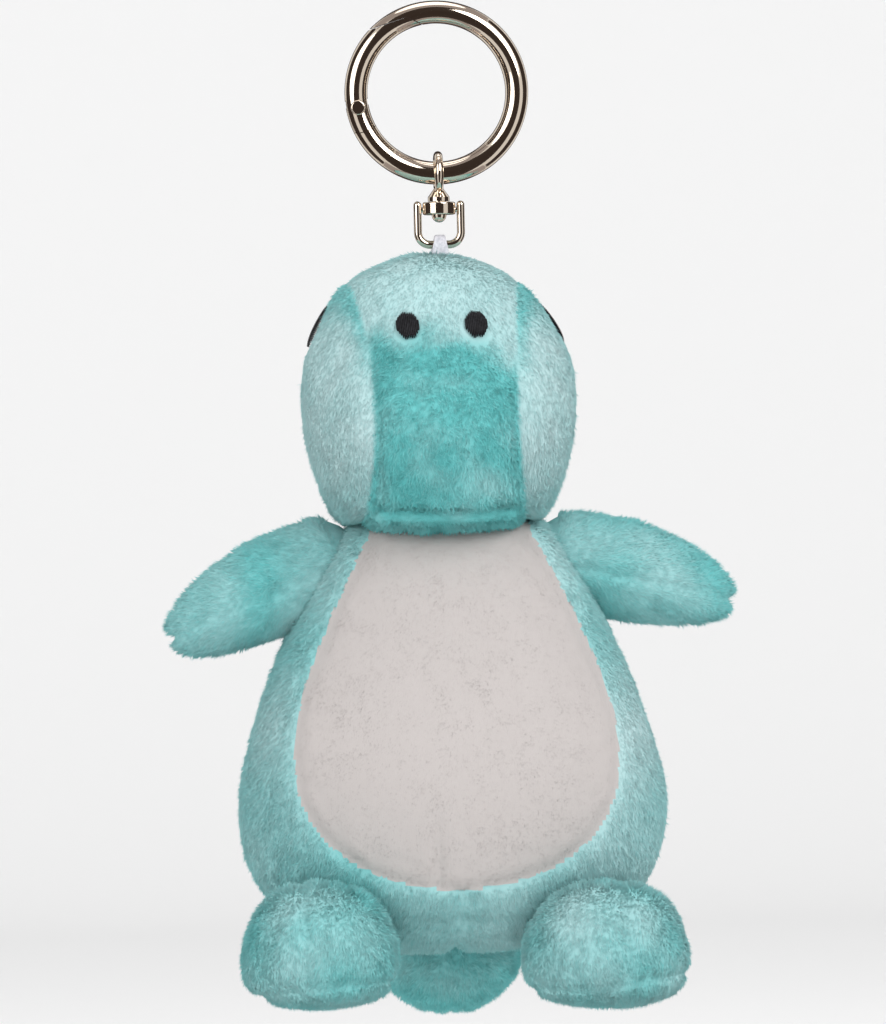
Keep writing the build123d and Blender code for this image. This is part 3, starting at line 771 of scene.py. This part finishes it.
# ---------------------------------------------------------------- arms
def make_arm(side, side_name):
    nodes = ["arm_" + side_name + "_" + part for part in ("upper", "lower", "fill")]
    low, high = under_pile(*boxed(*nodes))
    body = "arm_" + side_name
    root = joint_place(body + "_flap")
    points_of_lower = np.array([v.co for v in frame["nodes"][nodes[1]].data.vertices])
    tip = points_of_lower[np.argmax(side * points_of_lower[:, 0])]
    direction = tip - root
    direction[1] = 0
    length = np.linalg.norm(direction)
    direction /= length
    length -= 0.4 * MM
    up = np.array([-direction[2] * side, 0, direction[0] * side])
    if up[2] < 0:
        up = -up
    deep = (high[1] - low[1]) / 2
    stations = [
        (-0.9 * deep, 0.0, 0.0, 0.12 * deep),
        (-0.75 * deep, 0.66 * deep, 0.62 * deep, 0.14 * deep),
        (0.0, 1.14 * deep, 1.0 * deep, 0.20 * deep),
        (0.33 * length, 1.17 * deep, 1.0 * deep, 0.20 * deep),
        (0.60 * length, 1.03 * deep, 0.88 * deep, 0.14 * deep),
        (0.80 * length, 0.80 * deep, 0.68 * deep, 0.06 * deep),
        (0.93 * length, 0.53 * deep, 0.44 * deep, 0.01 * deep),
        (0.985 * length, 0.27 * deep, 0.25 * deep, 0.0),
        (1.0 * length, 0.0, 0.0, 0.0),
    ]
    skin = limb_form(body + "_skin", root, direction, up, stations)

    def seam(p):
        """Distance from the seam that runs from the shoulder to the tip, front and back."""
        return np.abs((p - root) @ up)

    def along(p):
        return (p - root) @ direction

    remesh(skin, 1.1 * MM)
    relax(skin, 3)
    inflate(skin, seam, 1.2 * MM)
    relax(skin, 1)
    subdivide(skin)
    p = points(skin)
    dip = 0.28 * MM * bell(seam(p), 0.95 * MM)
    pinch = 0.7 * MM * bell(seam(p), 1.1 * MM) * smooth01(0.86 * length, 0.99 * length, along(p))
    push(skin, -dip - pinch + 0.25 * MM * wrinkle(p, 6 * MM, 3 + side))
    # Painted sheen: pale patches where the arm's pile lies flat.
    flat_and_sheen = patchy_nap_and_sheen(0.33, 0.4, 8 + side)
    set_nap_and_sheen(skin.data, flat_and_sheen(points(skin)))
    skin.data.materials.append(teal_backing)
    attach(skin, body)
    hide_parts(*nodes)

    def flow(p):
        """The nap leans towards the tip."""
        return direction * 1.0 + up * np.sign((p - root) @ up)[:, None] * 0.15

    for half_name, half in (("upper", 1), ("lower", -1)):
        pile(
            body + "_" + half_name + "_pile", skin, body, teal, flow, flat_and_sheen,
            keep=lambda p, half=half: ((p - root) @ up * half > 0) & (along(p) > -0.4 * deep),
            seed=20 + side + 5 * half, length_at=seam_length(seam, 0.6, 1.0 * MM),
        )


# ---------------------------------------------------------------- feet
FOOT_OUTLINE = [
    (0.00, 0.00, 0.00, 0.00),
    (0.02, 0.36, 0.36, 0.36),
    (0.13, 0.68, 0.68, 0.68),
    (0.30, 0.87, 0.87, 0.87),
    (0.50, 0.975, 0.97, 0.97),
    (0.68, 1.00, 1.00, 1.00),
    (0.86, 0.93, 0.93, 0.93),
    (0.95, 0.75, 0.76, 0.76),
    (0.99, 0.44, 0.46, 0.46),
    (1.00, 0.00, 0.00, 0.00),
]


def make_foot(side, side_name):
    nodes = ["foot_" + side_name + "_" + part for part in ("inner", "outer", "sole", "fill")]
    low, high = under_pile(*boxed(*nodes))
    plump = 0.5 * MM * side
    low[0] -= plump
    high[0] += plump
    low[2] -= plump
    high[2] -= plump
    inner_low, inner_high = boxed(nodes[0])
    sole_high = boxed(nodes[2])[1]
    seam_x = inner_low[0] if side < 0 else inner_high[0]
    middle_y = (low[1] + high[1]) / 2
    skin = stacked_form("foot_" + side_name + "_skin", FOOT_OUTLINE, low, high, middle_y, 48, 64, square=2.1)

    def toe_seam(p):
        return np.abs(p[:, 0] - seam_x) + 0.02 * (p[:, 2] < sole_high[2])

    def sole_seam(p):
        line = sole_high[2] - 0.6 * MM + 1.2 * MM * np.sin((p[:, 0] - seam_x) / (7 * MM))
        return np.abs(p[:, 2] - line)

    def seams(p):
        return np.minimum(toe_seam(p), sole_seam(p))

    remesh(skin, 1.2 * MM)
    relax(skin, 3)
    inflate(skin, seams, 1.3 * MM)
    relax(skin, 1)
    subdivide(skin)
    p = points(skin)
    dip = 0.6 * MM * bell(toe_seam(p), 1.0 * MM) + 0.6 * MM * bell(sole_seam(p), 1.0 * MM)
    push(skin, -dip + 0.3 * MM * wrinkle(p, 8 * MM, 7 + side))
    # Painted light: the right foot is a little paler, as the light falls stronger from the right.
    flat_and_sheen = patchy_nap_and_sheen(0.34 + 0.05 * side, 0.35, 14 + side)
    set_nap_and_sheen(skin.data, flat_and_sheen(points(skin)))
    skin.data.materials.append(teal_backing)
    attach(skin, "plush")
    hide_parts(*nodes)

    def flow(p):
        out = np.zeros_like(p)
        out[:, 2] = -1.0
        out[:, 1] = -0.6
        out[:, 0] = -0.15 * np.sign(p[:, 0] - seam_x)
        return out

    for part, keep in (
        ("inner", lambda p: (p[:, 2] > sole_high[2]) & (side * (p[:, 0] - seam_x) < 0)),
        ("outer", lambda p: (p[:, 2] > sole_high[2]) & (side * (p[:, 0] - seam_x) >= 0)),
        ("sole", lambda p: p[:, 2] <= sole_high[2]),
    ):
        pile(
            "foot_" + side_name + "_" + part + "_pile", skin, "plush", teal, flow, flat_and_sheen,
            keep=keep, seed=40 + side + 3 * len(part), length_at=seam_length(seams, 0.5, 1.1 * MM),
        )


# ---------------------------------------------------------------- tail
def make_tail():
    nodes = ["tail_left", "tail_right", "tail_fill"]
    low, high = under_pile(*boxed(*nodes), 0.2 * MM)
    root = joint_place("tail_wag")
    deep = (high[0] - low[0]) / 2
    length = high[1] - root[1]
    direction = np.array([0.0, 1.0, 0.0])
    up = np.array([0.0, 0.0, 1.0])
    stations = [
        (-0.99 * deep, 0.0, 0.0, 0.0),
        (-0.8 * deep, 0.58 * deep, 0.58 * deep, 0.0),
        (0.0, 1.02 * deep, 1.06 * deep, 0.0),
        (0.26 * length, 0.93 * deep, 0.97 * deep, 0.0),
        (0.52 * length, 0.71 * deep, 0.74 * deep, 0.0),
        (0.81 * length, 0.41 * deep, 0.41 * deep, 0.0),
        (0.96 * length, 0.20 * deep, 0.20 * deep, 0.0),
        (1.0 * length, 0.0, 0.0, 0.0),
    ]
    skin = limb_form("tail_skin", root, direction, up, stations)

    def seam(p):
        return np.abs(p[:, 0])

    remesh(skin, 1.3 * MM)
    relax(skin, 3)
    inflate(skin, seam, 1.2 * MM)
    relax(skin, 1)
    subdivide(skin)
    p = points(skin)
    push(skin, -0.2 * MM * bell(seam(p), 1.0 * MM) + 0.3 * MM * wrinkle(p, 8 * MM, 11))
    # Painted shade: a low level keeps the tail darker, as it hangs in the body's shadow.
    flat_and_sheen = patchy_nap_and_sheen(0.18, 0.35, 17)
    set_nap_and_sheen(skin.data, flat_and_sheen(points(skin)))
    skin.data.materials.append(teal_backing)
    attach(skin, "tail")
    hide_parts(*nodes)

    def flow(p):
        out = np.zeros_like(p)
        out[:, 1] = 0.9
        out[:, 2] = -0.4
        return out

    for side_name, side in (("left", -1), ("right", 1)):
        pile(
            "tail_" + side_name + "_pile", skin, "tail", teal, flow, flat_and_sheen,
            keep=lambda p, side=side: p[:, 0] * side > 0, seed=60 + side,
            length_at=seam_length(seam, 0.6, 1.0 * MM),
        )


# ---------------------------------------------------------------- embroidery
def surface_finder(skin):
    """Returns a function that drops a point onto the skin along a direction."""
    bpy.context.view_layer.update()

    def drop(start, direction):
        hit, place, normal, _ = skin.ray_cast(Vector(start), Vector(direction))
        return (np.array(place), np.array(normal)) if hit else None

    return drop


def thread_path(name, lines, radius, material, body):
    """Satin stitches: each line of points becomes one closed round thread."""
    sides = 6
    verts, faces = [], []
    for line in lines:
        line = np.array(line)
        start = len(verts)
        ahead = np.gradient(line, axis=0)
        ahead /= np.linalg.norm(ahead, axis=1, keepdims=True)
        for k, (centre, along) in enumerate(zip(line, ahead)):
            side = np.cross(along, (0.31, 0.2, 0.93))
            side /= np.linalg.norm(side)
            top = np.cross(side, along)
            share = k / (len(line) - 1)
            thick = radius * (0.35 + 0.65 * min(1, 6 * min(share, 1 - share) + 0.1))
            for s in range(sides):
                angle = 2 * math.pi * s / sides
                verts.append(centre + (side * math.cos(angle) + top * math.sin(angle)) * thick)
        rings = len(line)
        for r in range(rings - 1):
            for s in range(sides):
                nxt = (s + 1) % sides
                a, b = start + r * sides, start + (r + 1) * sides
                faces.append((a + s, a + nxt, b + nxt, b + s))
        faces.append(tuple(start + s for s in reversed(range(sides))))
        faces.append(tuple(start + (rings - 1) * sides + s for s in range(sides)))
    piece = new_object(name, verts, faces)
    piece.data.materials.append(material)
    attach(piece, body)
    return piece


def satin_patch(name, node, drop, view, across, stitches, radius, material, lift, grow=1.0):
    """An oval of parallel stitches over a CAD patch, laid on the skin and a little domed."""
    low, high = boxed(node)
    centre = (low + high) / 2
    view = np.array(view, float)
    across = np.array(across, float)
    tall = np.cross(view, across)
    half_across = abs((high - low) @ np.abs(across)) / 2 * grow
    half_tall = abs((high - low) @ np.abs(tall)) / 2 * grow
    lines = []
    for k in range(stitches):
        share = -1 + 2 * (k + 0.5) / stitches
        reach = math.sqrt(1 - share * share) * (1 + 0.07 * math.sin(5.1 * k)) + 0.05
        line = []
        for t in np.linspace(-1, 1, 9):
            spot = centre + tall * half_tall * share + across * half_across * reach * t
            found = drop(spot - view * 0.03, view)
            if found is None:
                continue
            place, normal = found
            dome = math.sqrt(max(0.0, 1 - share**2 * 0.96 - (reach * t) ** 2 * 0.9))
            line.append(place + normal * (lift * (0.35 + 0.65 * dome)))
        if len(line) > 4:
            lines.append(line)
    piece = thread_path(name, lines, radius, material, "plush")
    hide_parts(node)
    return piece


# ---------------------------------------------------------------- hang loop
def make_loop():
    """A ribbed tape that goes round the shackle's bar and down into the crown."""
    low, high = boxed("hang_loop")
    half_wide = (high[0] - low[0]) / 2
    outer = (high[1] - low[1]) / 2
    top_z = high[2] - outer
    thick = 0.9 * MM
    middle = outer - thick / 2
    path = []
    for z in np.linspace(low[2], top_z, 14, endpoint=False):
        path.append(((0, -middle, z), (0, -1, 0)))
    for angle in np.linspace(0, math.pi, 26):
        out_y, out_z = -math.cos(angle), math.sin(angle)
        path.append(((0, middle * out_y, top_z + middle * out_z), (0, out_y, out_z)))
    for z in np.linspace(top_z, low[2], 15)[1:]:
        path.append(((0, middle, z), (0, 1, 0)))
    section = []
    ribs = 11
    for k in range(ribs * 4 + 1):
        x = -half_wide + 2 * half_wide * k / (ribs * 4)
        edge = min(1, (half_wide - abs(x)) / (0.35 * MM))
        rib = 0.90 + 0.10 * math.cos(2 * math.pi * k / 4)
        height = thick / 2 * (0.55 + 0.45 * math.sqrt(max(0, edge))) * rib
        section.append((x, height))
    loop = section + [(x, -h * 0.98) for x, h in reversed(section)]
    verts, faces = [], []
    for row, (centre, out) in enumerate(path):
        ripple = 1 + 0.05 * (row % 2)
        gathered = 1 - 0.38 * float(smooth01(top_z - 1.5 * MM, top_z + outer, centre[2]))
        for x, h in loop:
            verts.append(np.array(centre) + np.array([x * gathered, 0, 0]) + np.array(out) * h * ripple)
    count = len(loop)
    for row in range(len(path) - 1):
        for k in range(count):
            nxt = (k + 1) % count
            faces.append((row * count + k, row * count + nxt, (row + 1) * count + nxt, (row + 1) * count + k))
    faces.append(tuple(reversed(range(count))))
    faces.append(tuple((len(path) - 1) * count + k for k in range(count)))
    piece = new_object("loop_tape", verts, faces)
    face_outwards(piece)
    piece.data.materials.append(tape)
    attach(piece, "plush")
    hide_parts("hang_loop")


# ---------------------------------------------------------------- stage
def make_stage():
    """A pale sweep below the hanging toy, the cards that the metal reflects, and the lights."""
    low, high = cad_bounds
    floor_gap = 45 * MM
    centre = Vector(((low[0] + high[0]) / 2, 0, (low[2] + high[2]) / 2))
    floor_z = low[2] - floor_gap
    wide, front, back, top, bend = 2.6, -2.6, 1.7, 1.4, 0.35
    profile = [(front, floor_z), (back - bend, floor_z)]
    for k in range(1, 13):
        angle = math.pi / 2 * k / 12
        profile.append((back - bend + bend * math.sin(angle), floor_z + bend - bend * math.cos(angle)))
    profile.append((back, top))
    verts = [(x, y, z) for y, z in profile for x in (-wide, wide)]
    faces = [(2 * k, 2 * k + 1, 2 * k + 3, 2 * k + 2) for k in range(len(profile) - 1)]
    sweep = new_object("studio_floor", verts, faces)
    material, nodes, links, shader = nodes_of("studio_paper")
    shader.inputs["Base Color"].default_value = (0.92, 0.92, 0.92, 1)
    shader.inputs["Roughness"].default_value = 0.9
    sweep.data.materials.append(material)
    sweep.visible_glossy = False

    def card(name, glow, corners):
        """A card outside the picture that only the polished metal reflects."""
        material, nodes, links, shader = nodes_of(name)
        shader.inputs["Base Color"].default_value = (0, 0, 0, 1)
        shader.inputs["Emission Color"].default_value = (*glow, 1)
        shader.inputs["Emission Strength"].default_value = 1.0
        piece = new_object(name, [centre + corner for corner in corners], [(0, 1, 2, 3)])
        piece.data.materials.append(material)
        piece.visible_camera = False
        piece.visible_diffuse = False
        piece.visible_shadow = False

    away, half, tall = 2.0, 1.1, 2.6
    for turn in range(4):
        facing = Matrix.Rotation(math.pi / 2 * turn, 3, "Z")
        corners = ((-half, -tall), (half, -tall), (half, tall), (-half, tall))
        square = [facing @ Vector((x, -away, z)) for x, z in corners]
        card("dark_card_" + str(turn), (0.030, 0.020, 0.016), square)
    reach, above = 2.4, 3.2
    for side, level in (("top", above), ("bottom", -above)):
        corners = ((-reach, -reach), (reach, -reach), (reach, reach), (-reach, reach))
        square = [Vector((x, y, level)) for x, y in corners]
        card("grey_card_" + side, (0.34, 0.31, 0.31), square)

    def area_light(name, place, size, power, target=centre):
        data = bpy.data.lights.new(name, "AREA")
        data.shape = "DISK"
        data.size = size
        data.energy = power
        light = bpy.data.objects.new(name, data)
        light.location = place
        light.rotation_euler = (Vector(target) - Vector(place)).to_track_quat("-Z", "Y").to_euler()
        bpy.context.scene.collection.objects.link(light)

    for name, place, size, power in (
        ("key", (0.50, -0.80, 0.45), 0.7, 7.5),
        ("fill", (-0.75, -0.70, 0.25), 0.9, 4.5),
        ("top", (0.0, 0.1, 0.95), 0.8, 2.5),
    ):
        area_light(name, place, size, power)
    world = bpy.data.worlds.new("studio")
    bpy.context.scene.world = world
    world.use_nodes = True
    world.node_tree.nodes["Background"].inputs["Color"].default_value = (1, 1, 1, 1)
    world.node_tree.nodes["Background"].inputs["Strength"].default_value = 0.78


def make_camera():
    """Level and frontal, a little from the left, leaning by a little over a degree."""
    low, high = cad_bounds
    picture_tall = 0.178
    distance = 1.6
    turn, lean = math.radians(-3.5), math.radians(-1.3)
    target = Vector((-0.0005, 0, (low[2] + high[2]) / 2 - 0.0005))
    data = bpy.data.cameras.new("camera")
    data.sensor_fit = "VERTICAL"
    data.sensor_height = 24
    data.lens = 24 * distance / picture_tall
    camera = bpy.data.objects.new("camera", data)
    bpy.context.scene.collection.objects.link(camera)
    place = target + Vector((math.sin(turn), -math.cos(turn), 0)) * distance
    look = (target - place).to_track_quat("-Z", "Y").to_matrix().to_4x4()
    camera.matrix_world = Matrix.Translation(place) @ look @ Matrix.Rotation(lean, 4, "Z")
    bpy.context.scene.camera = camera


# ---------------------------------------------------------------- build
bpy.context.scene.view_settings.view_transform = "Standard"
make_camera()
make_stage()
head = make_head()
drop = surface_finder(head)
head_pieces = [head] + [
    satin_patch(
        node + "_stitches", node, drop, into, along, rows, STITCH_RADIUS, black_thread, STITCH_LIFT, grow)
    for node, into, along, rows, grow in (
        ("nostril_left", (0, 1, 0), (0, 0, 1), 13, 0.9),
        ("nostril_right", (0, 1, 0), (0, 0, 1), 13, 0.9),
        ("eye_left", (1, 0, 0), (0, 1, 0), 22, 1.0),
        ("eye_right", (-1, 0, 0), (0, 1, 0), 22, 1.0),
    )
]
patches = ("nostril_left", "nostril_right", "eye_left", "eye_right")


def head_keep(test):
    def keep(p):
        free = test(p)
        for node in patches:
            free &= ~near_patch(p, node, 0.1 * MM)
        return free
    return keep




def in_strip(p):
    return np.abs(p[:, 0]) < gusset_edge(p)


def in_chin(p):
    return (p[:, 2] < chin_high[2]) & (p[:, 1] < 0)


head_parts = {
    "head_gusset_pile": lambda p: in_strip(p) & ~in_chin(p),
    "chin_pile": lambda p: in_strip(p) & in_chin(p),
    "head_side_left_pile": lambda p: p[:, 0] < -gusset_edge(p),
    "head_side_right_pile": lambda p: p[:, 0] > gusset_edge(p),
}
for number, (name, test) in enumerate(head_parts.items()):
    head_pieces.append(pile(
        name, head, "plush", teal, head_flow, head_nap_and_sheen,
        keep=head_keep(test), seed=80 + number, length_at=head_length))
for piece in head_pieces:
    lean_head(piece)

torso = make_torso()
pile("belly_pile", torso, "plush", white, torso_flow, patchy_nap_and_sheen(0.9, 0.2, 9),
     keep=lambda p: belly_inside(p) > 0, seed=90, length=0.55 * MM, width=0.22 * MM, density=12.0,
     length_at=seam_length(torso_seams, 0.6))
for side, side_name in ((-1, "left"), (1, "right")):
    for facing, facing_name in ((-1, "front"), (1, "back")):
        pile("torso_" + side_name + "_" + facing_name + "_pile", torso, "plush", teal,
             torso_flow, torso_nap_and_light, seed=93 + side + facing // 2, length_at=seam_length(torso_seams, 0.6),
             keep=lambda p, side=side, facing=facing: (
                 (belly_inside(p) <= 0) & (p[:, 0] * side > 0) & (p[:, 1] * facing > 0)))

for side, side_name in ((-1, "left"), (1, "right")):
    make_arm(side, side_name)
    make_foot(side, side_name)
make_tail()
make_loop()
